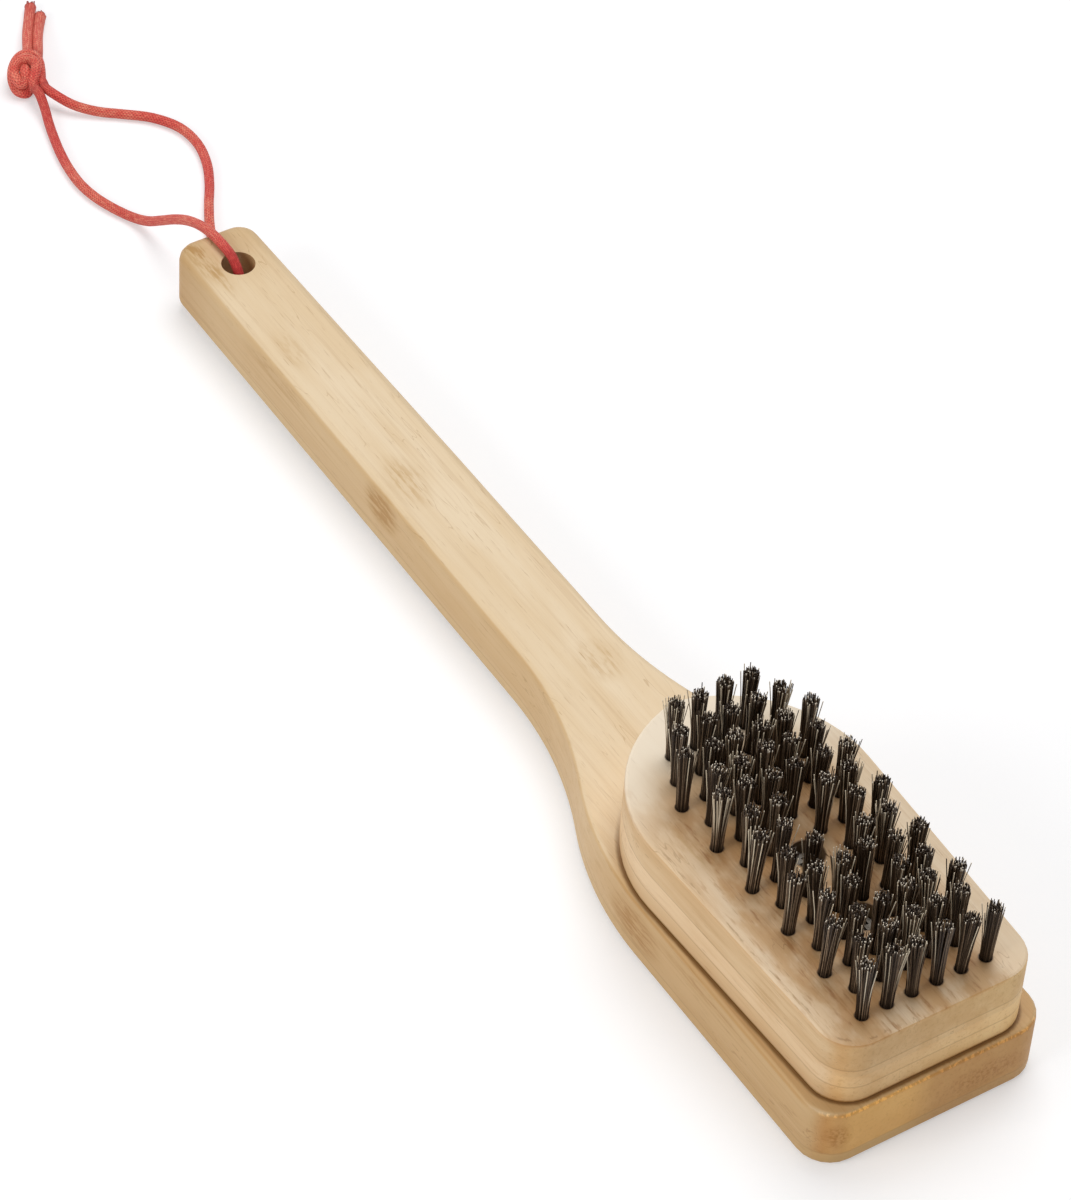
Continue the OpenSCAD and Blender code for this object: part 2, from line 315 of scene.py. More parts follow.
def tube_along(line, width, name, around=4, swell=0.0, belly=0.0):
    """A capped round tube along a line, as a mesh with a UV map along and round it. It may swell
    towards its end, or between its ends, by that share of its width."""
    curve = bpy.data.curves.new(name, "CURVE")
    curve.dimensions = "3D"
    curve.bevel_depth = width / 2
    curve.bevel_resolution = around
    curve.use_fill_caps = True
    spline = curve.splines.new("POLY")
    spline.points.add(len(line) - 1)
    for i, (knot, point) in enumerate(zip(spline.points, line)):
        knot.co = (*point, 1)
        from_end = min(i, len(line) - 1 - i) / len(line)
        knot.radius = 1 + swell * i / len(line) + belly * min(1, 6 * from_end)
    piece = bpy.data.objects.new(name, curve)
    bpy.context.scene.collection.objects.link(piece)
    only(piece)
    bpy.ops.object.convert(target="MESH")
    piece = bpy.context.object
    bpy.ops.object.shade_smooth_by_angle(angle=math.radians(50))
    return piece


def measured_uv(piece, line):
    """Scale the tube's UV map to its length in cord widths, so that a braid stays even."""
    widths = length_of(line) / (CORD * MM)
    for loop in piece.data.uv_layers[0].data:
        loop.uv.x *= widths


# %% The cord
cord_line = smooth_line(cord_route, 4)
for point in cord_line:
    point.z = max(point.z, CORD / 2 * MM)
cord_length = length_of(cord_line)
hang_cord = tube_along(cord_line, CORD * MM, "hanging_cord")
print("cord length:", round(cord_length, 4), "m;", [layer.name for layer in hang_cord.data.uv_layers])
measured_uv(hang_cord, cord_line)

# %% [markdown]
# ## The knot
# Both legs are tied together in one overhand knot: they run up its middle, cross over, go once
# round themselves and come out through their own loop as two tails. Two curves side by side show
# that better than any carved lump, so each strand gets its own route in the knot's own
# directions: along the tails, across, and up from the table.

# %% Two strands in one overhand knot
knot_mid = Vector((-364.5, -2.0, 7.0))
tail_turn = math.radians(150)
along = Vector((math.cos(tail_turn), math.sin(tail_turn), 0))
across = Vector((along.y, -along.x, 0))


def in_knot(points):
    """Points in the knot's own directions, as places in metres."""
    return [(knot_mid + along * u + across * v + Vector((0, 0, w))) * MM for u, v, w in points]


strand_one = in_knot([
    (-9.7, 3.3, -0.7), (-8.8, 2.8, -0.4), (-6.4, 2.4, 1.2), (-3.2, 3.2, 2.8), (0.0, 3.2, 4.0),
    (2.2, 0.9, 4.5), (2.0, -2.6, 4.1), (-0.4, -4.9, 3.0), (-3.8, -4.9, 1.4), (-6.2, -2.4, -0.7),
    (-5.0, -0.4, 0.2), (-2.4, -0.8, 2.0), (0.8, -1.0, 1.4), (4.2, -0.9, -0.6), (7.0, -0.5, -0.9),
    (10.0, -0.4, -0.5),
])
strand_two = in_knot([
    (-7.7, 6.7, -0.7), (-6.8, 6.2, -0.4), (-3.8, 5.1, -0.2), (0.6, 4.7, 0.8), (5.0, 3.8, 1.8),
    (7.6, 0.9, 2.5), (7.0, -3.0, 1.8), (3.0, -5.4, -0.2), (-1.8, -5.6, -2.4), (-5.8, -3.8, -4.2),
    (-6.8, -0.4, -4.6), (-4.4, 0.8, -3.2), (-0.8, 1.2, -2.6), (3.0, 2.4, -2.8), (6.2, 3.4, -1.4),
    (10.0, 3.6, -0.5),
])
knot_parts = []
for i, points in enumerate((strand_one, strand_two)):
    line = smooth_line(points, 6)
    knot_parts.append(tube_along(line, CORD * MM, f"knot_strand_{i + 1}", belly=0.14))
    measured_uv(knot_parts[-1], line)
knot = joined(knot_parts, "overhand_knot")
print("knot:", len(knot_parts), "strands,", len(knot.data.polygons), "faces")

# %% [markdown]
# ## The tails
# Two cut ends leave the knot side by side, sink to the table and end a little frayed. Each is a
# tube along the CAD's own tail route, and a ring of short fine fibres stands out of its cut.

# %% Tails with frayed ends
FIBRES = 22
tail_routes = [
    [(-371.6, 1.6, 6.5), (-375.96, 4.15, 6.5), (-388, 10.6, 4.6), (-397.5, 16.4, 2.7),
     (-404.6, 20.9, 2.3)],
    [(-369.6, 5.1, 6.5), (-373.96, 7.6, 6.5), (-383.7, 12.7, 4.8), (-391, 17.0, 3.0),
     (-397.6, 21.4, 2.3)],
]
tail_parts = []
dice = random.Random(4)
for i, route in enumerate(tail_routes):
    line = smooth_line([Vector(p) * MM for p in route], 6)
    tail = tube_along(line, CORD * MM, f"tail_{i + 1}", swell=0.2)
    measured_uv(tail, line)
    tail_parts.append(tail)
    tip, aim = line[-1], (line[-1] - line[-2]).normalized()
    side = aim.cross(Vector((0, 0, 1))).normalized()
    rise = side.cross(aim)
    for k in range(FIBRES):
        angle = 2 * math.pi * k / FIBRES
        out = side * math.cos(angle) + rise * math.sin(angle)
        root = tip - aim * 1.5 * MM + out * CORD / 2 * MM
        reach = dice.uniform(0.5, 1.9) * MM
        end = tip + aim * reach + out * (CORD / 2 + dice.uniform(-0.5, 0.3)) * MM
        end.z = max(end.z, 0.3 * MM)
        bowed = smooth_line([root, (root + end) / 2 + out * 0.15 * MM, end], 3)
        fibre = tube_along(bowed, 0.55 * MM, "fibre", around=0)
        measured_uv(fibre, [root, end])
        tail_parts.append(fibre)
tails = joined(tail_parts, "cord_tails_frayed")

# %% [markdown]
# ## The cord's finish
# The braid is a round sleeve of red yarn: slanted strands run both ways round it, one turn in
# about two widths, with painted shade in the creases between them and a faint sheen on top. The
# pattern reads the tube's UV map, because it has to follow each bend.

# %% The braid's strands
STRANDS, SLANT = 8, 0.45
braid, braid_shader, place = new_material(
    "cord_red_braid", Roughness=0.62, Sheen_Weight=0.1, Sheen_Roughness=0.4
)
braid_shader.inputs["Sheen Tint"].default_value = (1.0, 0.72, 0.66, 1.0)
uv = Flow(braid.node_tree.nodes.new("ShaderNodeTexCoord").outputs["UV"])
lengthways, round_it, _ = parts_of(uv)
waves = STRANDS * 2 * math.pi
one_way = ((lengthways * SLANT + round_it) * waves).sums("SINE")
other_way = ((lengthways * SLANT - round_it) * waves).sums("SINE")
strands = one_way.sums("MAXIMUM", other_way)
crease_shade = 1 - fade(strands, -0.1, 0.75)
yarn = noise(stretched(uv, (1.2, 26, 1)), detail=3.0)
streak = fade(yarn, 0.42, 0.66)
print("braid:", STRANDS, "strands each way, once round in", round(1 / SLANT, 1), "cord widths")

# %% [markdown]
# Daylight has faded the red in soft patches, except where the handle's hole has kept it, so the
# deeper red is given by the distance from the hole.

# %% Deep and faded red
HANG_HOLE = (-0.207, -0.001, 0.018)
from_hang_hole = place.node(
    "ShaderNodeVectorMath", {"operation": "DISTANCE"}, {0: place, 1: HANG_HOLE}, out=1
)
blotch = fade(noise(place, 24.0, 2.0), 0.38, 0.58)
faded = fade(from_hang_hole, 0.008, 0.024) * (0.35 + blotch * 0.65)
dark_red = blended(faded, (0.64, 0.024, 0.024), (0.80, 0.105, 0.070))
light_red = blended(faded, (0.86, 0.075, 0.062), (0.98, 0.310, 0.200))
red = blended(streak, dark_red, light_red)
# Painted shade in the creases between the strands.
red = blended(crease_shade * 0.40, red, (0.30, 0.006, 0.010))
feed(braid_shader, Base_Color=red, Normal=relief(strands * 0.7 + yarn * 0.6, 0.25 * MM))
print("braid finish:", len(braid.node_tree.nodes), "nodes")

# %% The cord, its knot and its tails
for piece in (hang_cord, knot, tails):
    piece.data.materials.clear()
    piece.data.materials.append(braid)
finished(hang_cord, "cord", "hang_cord")
finished(knot, "cord", "cord_knot")
finished(tails, "cord", "cord_tails")

# %% [markdown]
# ## The bamboo
# The board and the block are cut from laminated bamboo: strips about 20 mm wide, glued side by
# side in plies. Long fibres run from the handle to the head, fine dark flecks are cut vascular
# bundles, and a brown band crosses a strip where the cane had a node. The pattern is solid, as
# in real wood, so it reads Object coordinates, turned back by the half degree at which the brush
# leans on its cord. As in the CAD source, the wood stands on its front edge and on the cord, 442
# mm further back, and it settles a hair on the rounding of that edge. Its front end, from which
# all places on the wood are counted backwards, stands 228 mm in front of the model's middle.

# %% Board coordinates inside the shader
CORD_FROM_FRONT, LOWER_EDGE_R = 442.25, 2
LEAN = math.asin(CORD / CORD_FROM_FRONT)
FRONT_AT = 228.386 * MM
SETTLE = LOWER_EDGE_R * math.sin(LEAN) * MM


def on_board(place):
    """Object coordinates turned into the board's own, in millimetres: x from the front, y, z up."""
    own = place.node("ShaderNodeMapping", {"vector_type": "TEXTURE"}, {
        "Vector": place, "Location": (FRONT_AT, 0, -SETTLE), "Rotation": (0, LEAN, 0),
    })
    large = own.node("ShaderNodeVectorMath", {"operation": "SCALE"}, {0: own, "Scale": 1 / MM})
    return large, *parts_of(large)


def grain(place, stretch, detail=4.0, shift=0.0):
    """Noise that is drawn out along the fibres; stretch is in features for each millimetre."""
    return noise(stretched(place, stretch, shift), detail=detail, Roughness=0.55)


print("the wood leans by", round(math.degrees(LEAN), 2), "degrees")


# %% [markdown]
# A node mark is a brown spot on one strip, ragged along the fibres and broken up by flecks. Each
# one is given by its place on the board, its half length along the fibres, its half width and
# half height, and how dark it is.

# %% Node marks
def node_marks(x, y, z, ragged, flecks, spots):
    """How strongly the brown of the nearest node shows here."""
    total = None
    for at_x, at_y, at_z, long, wide, tall, dark in spots:
        off = ((x - at_x) / long) ** 2 + ((y - at_y) / wide) ** 2 + ((z - at_z) / tall) ** 2
        one = (1 - fade(off + (ragged - 0.5) * 1.6, 0.0, 1.5)) * dark
        total = one if total is None else total.sums("MAXIMUM", one)
    return total * (0.30 + flecks * 1.1)


def count_of_steps(z, heights):
    """How many of these heights lie below, which numbers the plies."""
    count = z > heights[0]
    for level in heights[1:]:
        count = count + (z > level)
    return count


def seam_lines(z, heights, width):
    """1 on each glue line between plies."""
    line = 1 - fade(abs(z - heights[0]), width * 0.3, width)
    for level in heights[1:]:
        line = line.sums("MAXIMUM", 1 - fade(abs(z - level), width * 0.3, width))
    return line


# %% [markdown]
# One recipe serves both pieces of wood. Broad and fine streaks mix three tones, short dashes are
# the cut bundles, and each strip and ply is a little lighter or darker than the next. The sides and
# the front are given painted shade, darker and warmer than the top, so the recipe also reads which
# way the wood faces, from an attribute that the meshes get below. A few thin crooked scratches are
# the lines along which a stretched noise passes one level.

# %% Bamboo recipe
STRIP_WIDTH = 19.5
NODE_BROWN = (0.50, 0.30, 0.105)


def bamboo(name, colours, marks, seam_heights, seam_width, side_shade_tint, front_shade_tint):
    """Laminated bamboo: colours are light, middle, dark and fleck. It gives the material and its
    shader, what the two pieces build on, and the colour, roughness and height so far."""
    light, middle, dark, fleck = colours
    material, shader, place = new_material(name, Roughness=0.5)
    shader.inputs["Specular IOR Level"].default_value = 0.35
    large, x, y, z = on_board(place)
    face_x, face_y, face_z = parts_of(attribute(place, "facing", 1))
    broad = grain(large, (0.008, 0.11, 0.13))
    fibre = grain(large, (0.014, 0.7, 0.7), 5.0, 3.0)
    fine = grain(large, (0.035, 2.6, 2.6), 3.0, 7.0)
    cloudy = grain(large, (0.016, 0.045, 0.045), 3.0, 11.0)
    short = grain(large, (0.16, 0.75, 0.75), 4.0, 31.0)
    strip = ((y + 200) / STRIP_WIDTH).sums("FLOOR")
    tone = (strip * 0.37 + count_of_steps(z, seam_heights) * 0.61).sums("FRACT")
    colour = blended(fade(broad * 0.55 + cloudy * 0.45, 0.38, 0.62), light, middle)
    colour = blended(fade(fibre, 0.50, 0.72) * 0.34, colour, dark)
    colour = blended(fade(fine, 0.52, 0.80) * 0.26, colour, dark)
    colour = blended(fade(tone, 0.2, 0.9) * 0.30, colour, middle)
    dashes = fade(grain(large, (0.085, 1.7, 1.7), 2.0, 23.0), 0.66, 0.73)
    colour = blended(dashes * 0.34, colour, fleck)
    marked = node_marks(x, y, z, short, fade(fibre * 0.4 + short * 0.6, 0.44, 0.60), marks)
    colour = blended(marked.sums("MINIMUM", 0.85), colour, NODE_BROWN)
    colour = blended((marked * dashes).sums("MINIMUM", 0.7), colour, fleck)
    scratches = 1 - fade(abs(grain(large, (0.030, 0.21, 0.21), 2.0, 71.0) - 0.5), 0.003, 0.009)
    sparse = fade(grain(large, (0.022, 0.06, 0.06), 2.0, 83.0), 0.54, 0.62)
    colour = blended(scratches * sparse * 0.36, colour, fleck)
    seams = seam_lines(z, seam_heights, seam_width)
    colour = blended(seams * 0.30, colour, fleck)
    front = fade(face_x, 0.3, 0.8) * fade(x, -20, -12)
    # Painted shade: the sides and the front are darker and warmer than the top.
    colour = tinted(fade(abs(face_y), 0.48, 0.80), colour, side_shade_tint)
    colour = tinted(front, colour, front_shade_tint)
    rough = 0.44 + fibre * 0.16
    height = fibre * 0.5 + fine * 0.35 - dashes * 0.4 - seams * 0.5
    # The rounded top edge, on which the board paints a highlight.
    edge_highlight = fade(face_z, 0.15, 0.40) * (1 - fade(face_z, 0.75, 0.95)) * fade(face_x, 0.2, 0.4)
    return material, shader, (large, x, y, z, short, front, edge_highlight), colour, rough, height


# %% [markdown]
# The board is the pale one: creamy on top, darker and more golden on its sides with painted shade,
# with a brown streak beside the hole, and stained along the joint with the block, where glue and
# oil have soaked in; a dark line of painted shade marks the groove at the joint itself. The handle's
# end is darker with painted shade, as light falls off along the handle, the head is browner, and the
# lowest ply is a plainer yellow. The left part of the paddle's front is lighter with painted light,
# and a broken painted highlight runs along the rounded top edge of the front. The stain and the dark
# line follow the block's outline, so they are drawn by the distance from that outline: straight
# sides that taper by two degrees, a round corner in front and an arc behind.

# %% Distance from the block's outline
SIDE_SLOPE, CORNER_R = 0.0349, 13
CORNER_IN, CORNER_OUT = 15.7, 25.4
ARC_IN, ARC_PAST_MIDDLE, ARC_R = 104, 9, 51


def beyond_block(x, y):
    """Millimetres outside the block's outline, and below 0 inside it."""
    past_side = (abs(y) + x * SIDE_SLOPE - CORNER_OUT).sums("MAXIMUM", 0)
    past_front = (x + CORNER_IN).sums("MAXIMUM", 0)
    straight = (past_side**2 + past_front**2) ** 0.5 - CORNER_R
    arc = ((x + ARC_IN) ** 2 + (abs(y) + ARC_PAST_MIDDLE) ** 2) ** 0.5 - ARC_R
    ahead = fade(x, -ARC_IN, 4 - ARC_IN)
    return straight * ahead + arc * (1 - ahead)


# %% Board finish
board_marks = [
    (-308, -17.5, 17, 11, 4, 9, 0.95), (-309, -6, 24.5, 14, 7, 3, 0.42),
    (-203, 5, 24.5, 11, 8, 3, 0.40), (-106, -43, 13, 15, 7, 9, 0.70),
    (-386, -6, 24.5, 12, 6, 3, 0.25), (-250, 17, 12, 12, 4, 9, 0.6),
    (-150, 30, 10, 12, 6, 12, 0.6), (-60, 0, 0, 14, 10, 4, 0.5), (-200, -6, 0, 14, 9, 4, 0.5),
    (-330, 5, 0, 13, 8, 4, 0.5), (-446, -9.5, 23, 24, 4.5, 5, 0.8),
    (-380, -17, 19.5, 26, 3, 3, 0.45), (0, -37, 14, 6, 5, 6, 0.6), (0, 19, 12, 6, 17, 6, 0.5),
    (-70, -44, 20, 26, 3, 3, 0.4),
]
board_colours = [
    (0.79, 0.635, 0.435), (0.73, 0.555, 0.345), (0.54, 0.36, 0.19), (0.40, 0.23, 0.085),
]
bamboo_board, shader, (large, x, y, z, short, front, edge_highlight), colour, rough, height = bamboo(
    "bamboo_board", board_colours, board_marks, seam_heights=[5.4], seam_width=0.5,
    side_shade_tint=(0.86, 0.76, 0.61), front_shade_tint=(0.92, 0.68, 0.385),
)
left_front = front * (1 - fade(y, -14, 2))
# Painted light: the left part of the paddle's front face is lighter.
colour = tinted(left_front * fade(y, -38, -31), colour, (1.35, 1.45, 1.42))
low_ply = 1 - fade(z, 4.9, 5.9)
colour = blended(low_ply * (0.3 + left_front * 0.4), colour, (0.70, 0.50, 0.25))
# Painted shade: the handle's end is darker and browner, as light falls off along the handle.
end_falloff_shade = fade(x * -1 + short * 16, 425, 466)
colour = tinted(end_falloff_shade, colour, (0.81, 0.71, 0.56))
head = fade(x, -150, -95)
colour = tinted(head * 0.8, colour, (0.86, 0.79, 0.68))
gap = beyond_block(x, y)
beside = fade(z, 22.6, 23.9) * (1 - fade(gap, 4.5, 6.5)) * fade(x, -135, -112)
colour = tinted(beside, colour, (0.90, 0.79, 0.62))
# Painted shade: a dark line in the groove where the block meets the board.
joint = fade(z, 23.4, 24.2) * (1 - fade(gap + short * 0.8, 0.9, 2.3)) * fade(x, -146, -122)
colour = blended(joint * 0.9, colour, (0.22, 0.105, 0.028))
# Painted highlight, broken by a noise, along the rounded top edge of the front.
broken_highlight = fade(grain(large, (0.9, 0.9, 0.2), 2.0, 41.0), 0.46, 0.60)
colour = tinted(edge_highlight * fade(x, -8, -3) * broken_highlight, colour, (1.45, 1.5, 1.45))
feed(shader, Base_Color=colour, Roughness=rough, Normal=relief(height, 0.12 * MM, 0.7))
print("board finish:", len(bamboo_board.node_tree.nodes), "nodes")

# %% [markdown]
# The block is cut from three plies, the middle one the palest; its front is lighter towards one end
# with painted light, and its foot is darker with painted shade in the groove at the joint.

# %% The block's plies
block_marks = [
    (-40, -44, 40, 10, 6, 12, 0.3), (-96, -30, 52, 12, 8, 3, 0.3), (-30, -30, 52, 10, 8, 3, 0.3),
    (-120, 42, 40, 10, 6, 10, 0.5),
]
fleck_brown = (0.30, 0.16, 0.06)
block_colours = [(0.82, 0.66, 0.47), (0.72, 0.53, 0.33), (0.50, 0.31, 0.15), fleck_brown]
bamboo_block, shader, (large, x, y, z, short, front, _), colour, rough, height = bamboo(
    "bamboo_block", block_colours, block_marks, seam_heights=[31.8, 39.8], seam_width=0.45,
    side_shade_tint=(0.95, 0.86, 0.72), front_shade_tint=(1.0, 0.85, 0.62),
)
under_top = 1 - fade(z, 50.2, 51.2)
top_ply = fade(z, 39.6, 40.0) * under_top
middle_ply = fade(z, 31.6, 32.0) * (1 - fade(z, 39.6, 40.0))
colour = tinted(top_ply, colour, (0.92, 0.90, 0.86))
colour = tinted(middle_ply * (1 - front), colour, (1.05, 1.06, 1.09))
colour = tinted(front * (1 - fade(z, 36.5, 37.5)), colour, (1.08, 1.08, 1.06))
# Painted light: the block's front grows lighter towards its +y end.
colour = tinted(front * fade(y, -25, 35), colour, (1.18, 1.22, 1.18))
# Painted shade along the block's foot, in the groove at the joint.
colour = tinted(1 - fade(z, 24.9, 25.9), colour, (0.55, 0.40, 0.24))

# %% [markdown]
# Each tuft hole has a dark rim of painted shade round the tuft's foot, which is found by sums. The
# rows are staggered, so the nearest hole comes from rounding: first to the row, then to a place in
# it, with every other row shifted by half a pitch. Beyond the rows' ends and between the two screws
# no rim is drawn.

# %% Distances to the holes
FIRST_ROW, ROW_PITCH, TUFT_PITCH = 13.5, 10, 9.5
SCREWS_IN = (46.5, 77.0)
HOLE_R, RECESS_R = 2.1, 5.7
row = ((x + FIRST_ROW) / -ROW_PITCH).sums("ROUND")
odd = (row * 0.5).sums("FRACT") > 0.25
across_rows = (y + (1 - odd) * (TUFT_PITCH / 2)) / TUFT_PITCH
near_y = (across_rows - across_rows.sums("ROUND")) * TUFT_PITCH
near_x = x + FIRST_ROW + row * ROW_PITCH
from_hole = (near_x**2 + near_y**2) ** 0.5
on_top = fade(z, 50.5, 51.8)
side_reach = abs(y) + odd * (TUFT_PITCH / 2) + (1 - fade(x, -129, -128)) * TUFT_PITCH
in_field = (1 - fade(side_reach, 27.4, 28.4)) * (1 - fade(x, -10.5, -9.5)) * fade(x, -138, -137)
between_screws = (1 - fade(abs(y), 7.2, 7.6)) * fade(x, -86.6, -86.2) * (1 - fade(x, -37.8, -37.4))
first_off, second_off = ((x + screw) ** 2 + y**2 for screw in SCREWS_IN)
from_screws = first_off.sums("MINIMUM", second_off) ** 0.5
# The rim is painted shade round the foot of each tuft.
rim = (1 - fade(from_hole, HOLE_R, 2.7)) * on_top * in_field * (1 - between_screws)
print("rims on rows", ROW_PITCH, "mm apart, screws at", SCREWS_IN)

# %% [markdown]
# The top is browner where the drill and the tufts have marked it, darker with painted shade among
# the tufts, and pale at its nose. The saw has left dark torn fibres along one edge, and both screw
# recesses are darkened with painted shade.

# %% Block finish
worn = on_top * (1 - fade(abs(y + 6), 24, 40)) * fade(x, -142, -96)
patchy = fade(grain(large, (0.05, 0.10, 0.10), 4.0, 53.0), 0.38, 0.60)
pale_nose = on_top * (1 - fade(x, -132, -102))
colour = blended(pale_nose * 0.75, colour, (0.87, 0.77, 0.62))
colour = tinted(worn * (0.25 + patchy * 0.75), colour, (0.74, 0.59, 0.42))
soiled = fade(grain(large, (0.09, 0.5, 0.5), 4.0, 61.0), 0.56, 0.70) * worn
colour = tinted(soiled * 0.7, colour, (0.60, 0.43, 0.28))
edge_line = 1 - fade(abs(beyond_block(x, y) + 0.6 + short * 2.6), 0.2, 0.6)
torn = edge_line * on_top * fade(grain(large, (0.12, 0.4, 0.4), 3.0, 91.0), 0.46, 0.60)
colour = blended(torn * (1 - fade(y, -22, -12)) * fade(x, -112, -96) * 0.5, colour, fleck_brown)
# Painted shade on the top among the tufts.
tuft_field_shade = on_top * (1 - fade(abs(y), 22, 34)) * (1 - fade(x, -14, -8)) * fade(x, -140, -118)
colour = tinted(tuft_field_shade, colour, (0.86, 0.76, 0.64))
colour = blended(rim * 0.9, colour, (0.035, 0.016, 0.008))
# Painted shade in the screw recesses.
recess_shade = 1 - fade(from_screws, RECESS_R, 6.5)
colour = blended(recess_shade * 0.85, colour, (0.085, 0.042, 0.018))
feed(shader, Base_Color=colour, Roughness=rough, Normal=relief(height, 0.12 * MM, 0.7))
print("block finish:", len(bamboo_block.node_tree.nodes), "nodes")

# %% [markdown]
# ## Board and block
# Their shapes are right in the CAD, down to the drilled holes, but a CAD mesh is loose flat
# triangles. A copy with its doubles merged can be shaded smooth across the rounded edges and
# still keep every crisp line, so the copy stands in for the node.

# %% Smooth copies of the wood
SMOOTH_BELOW = math.radians(32)
place_wood = Matrix.Translation((FRONT_AT, 0, -SETTLE)) @ Matrix.Rotation(LEAN, 4, "Y")
wood_up = place_wood.to_3x3() @ Vector((0, 0, 1))


def smooth_copy(node_name, name, material):
    """A copy of a CAD node with merged points, flat top and bottom and smooth rounded edges. It
    carries the way it faces, in the board's own directions, for the bamboo recipe."""
    piece = twin(nodes[node_name], name)
    for key in list(piece.keys()):
        del piece[key]
    only(piece)
    bpy.ops.object.mode_set(mode="EDIT")
    bpy.ops.mesh.select_all(action="SELECT")
    bpy.ops.mesh.remove_doubles(threshold=0.00001)
    bpy.ops.mesh.dissolve_limited(angle_limit=math.radians(0.3))
    bpy.ops.object.mode_set(mode="OBJECT")
    bpy.ops.object.shade_smooth_by_angle(angle=SMOOTH_BELOW)
    for face in piece.data.polygons:
        if abs(face.normal.dot(wood_up)) > 0.99995:
            face.use_smooth = False
    facing = piece.data.attributes.new("facing", "FLOAT_VECTOR", "CORNER")
    turn_back = place_wood.to_3x3().transposed()
    for entry, corner in zip(facing.data, piece.data.corner_normals):
        entry.vector = turn_back @ corner.vector
    piece.data.materials.clear()
    piece.data.materials.append(material)
    return piece


board = smooth_copy("handle_board", "bamboo_handle_board", bamboo_board)
finished(board, "board_wood", "handle_board")
block = smooth_copy("brush_block", "bamboo_brush_block", bamboo_block)
finished(block, "block_wood", "brush_block")

# %% [markdown]
# ## The wire tufts
# Each tuft is a bundle of thin spring wires, folded once and driven into its hole. The wires stand
# close together at the foot, spread a little, and end unevenly where they were sheared, with a
# few strays. One wire is modelled and copied into a tuft; a few different tufts are copied into
# the thirteen rows of the block, so that no two neighbours are alike.

# %% One wire
TUFT_H, FOOT = 26.0, 3.0
bpy.ops.object.select_all(action="DESELECT")
bpy.ops.mesh.primitive_cylinder_add(
    vertices=4, radius=0.5, depth=1.0, location=(0, 0, 0.5), end_fill_type="TRIFAN"
)
wire = bpy.context.object
bpy.ops.object.transform_apply(location=True, rotation=False, scale=False)
bpy.ops.object.mode_set(mode="EDIT")
bpy.ops.mesh.select_all(action="DESELECT")
bpy.ops.object.mode_set(mode="OBJECT")
for edge in wire.data.edges:
    a, b = (wire.data.vertices[i].co for i in edge.vertices)
    edge.select = abs(a.z - b.z) > 0.5
bpy.ops.object.mode_set(mode="EDIT")
bpy.ops.mesh.subdivide(number_cuts=2)
bpy.ops.object.mode_set(mode="OBJECT")
print("one wire:", len(wire.data.vertices), "points,", len(wire.data.polygons), "faces")


# %% A tuft of wires
WIRES, WIRE_WIDTH, FOOT_R = 92, 0.35, 2.0
GOLDEN_TURN = 2.39996
STRAYS = 0.14


def make_tuft(seed):
    """A tuft standing on the origin, as one mesh, with a tint for each wire. Its wires start on a
    sunflower's spiral, which fills the round hole evenly."""
    dice = random.Random(seed)
    mesh = bpy.data.meshes.new(f"tuft_{seed}")
    bm = bmesh.new()
    tint = bm.verts.layers.float.new("wire_tint")
    rise = bm.verts.layers.float.new("wire_rise")
    for i in range(WIRES):
        r = FOOT_R * math.sqrt((i + 0.5) / WIRES)
        turn = GOLDEN_TURN * i + dice.uniform(-0.3, 0.3)
        top = TUFT_H - abs(dice.gauss(0, 1.0)) - 0.6 * (r / FOOT_R) ** 2
        stray = dice.random() < STRAYS and r > 1.2
        spread = r * 0.32 + (dice.uniform(0.5, 2.1) if stray else dice.uniform(-0.30, 0.50))
        sway = dice.uniform(-0.8, 0.8)
        if stray:
            top += dice.uniform(-0.5, 0.8)
        start = len(bm.verts)
        bm.from_mesh(wire.data)
        bm.verts.ensure_lookup_table()
        # Half the strays get 1.6, which the wire finish paints as a highlight.
        shade = 1.6 if stray and dice.random() < 0.5 else dice.random()
        for v in bm.verts[start:]:
            h = v.co.z
            out = r + spread * h * h
            side = sway * h * h
            x0, y0 = v.co.x * WIRE_WIDTH, v.co.y * WIRE_WIDTH
            v[tint] = shade
            v[rise] = h
            v.co = Vector((
                math.cos(turn) * out - math.sin(turn) * side + x0,
                math.sin(turn) * out + math.cos(turn) * side + y0,
                -FOOT + (top + FOOT) * h,
            ))
    bm.to_mesh(mesh)
    bm.free()
    piece = bpy.data.objects.new(mesh.name, mesh)
    bpy.context.scene.collection.objects.link(piece)
    return piece


tuft_kinds = [make_tuft(seed) for seed in range(6)]
print("tufts:", len(tuft_kinds), "kinds of", len(tuft_kinds[0].data.polygons), "faces")

# %% [markdown]
# The wire is dark, oiled steel, each wire a little lighter or darker: almost black low down, which
# is painted shade between the wires, and grey-brown on the lighter wires. The sheared tips are bare
# steel painted with bright glints, and a few stray wires get a painted highlight. Each wire carries
# its own tint, and its height as an attribute, so one material gives them all.

# %% Tuft wire finish
wire_metal, shader, place = new_material("tuft_wire_dark", Roughness=0.5)
shader.inputs["Specular IOR Level"].default_value = 0.3
wire_tint = attribute(place, "wire_tint", 2)
wire_rise = attribute(place, "wire_rise", 2)
rust = noise(place, 900.0, 3.0)
colour = blended(fade(wire_tint, 0.40, 1.0), (0.022, 0.011, 0.005), (0.27, 0.19, 0.125))
colour = blended(fade(rust, 0.45, 0.65) * 0.4, colour, (0.045, 0.022, 0.010))
sooty = fade(wire_rise, 0.90, 0.99) * (1 - fade(wire_tint, 0.5, 0.80)) * 0.8
colour = blended(sooty, colour, (0.030, 0.017, 0.010))
# Bright tips: bare steel at the cut, with painted glints.
colour = blended(fade(wire_rise, 0.965, 1.0) * fade(wire_tint, 0.74, 0.84), colour, (0.85, 0.76, 0.62))
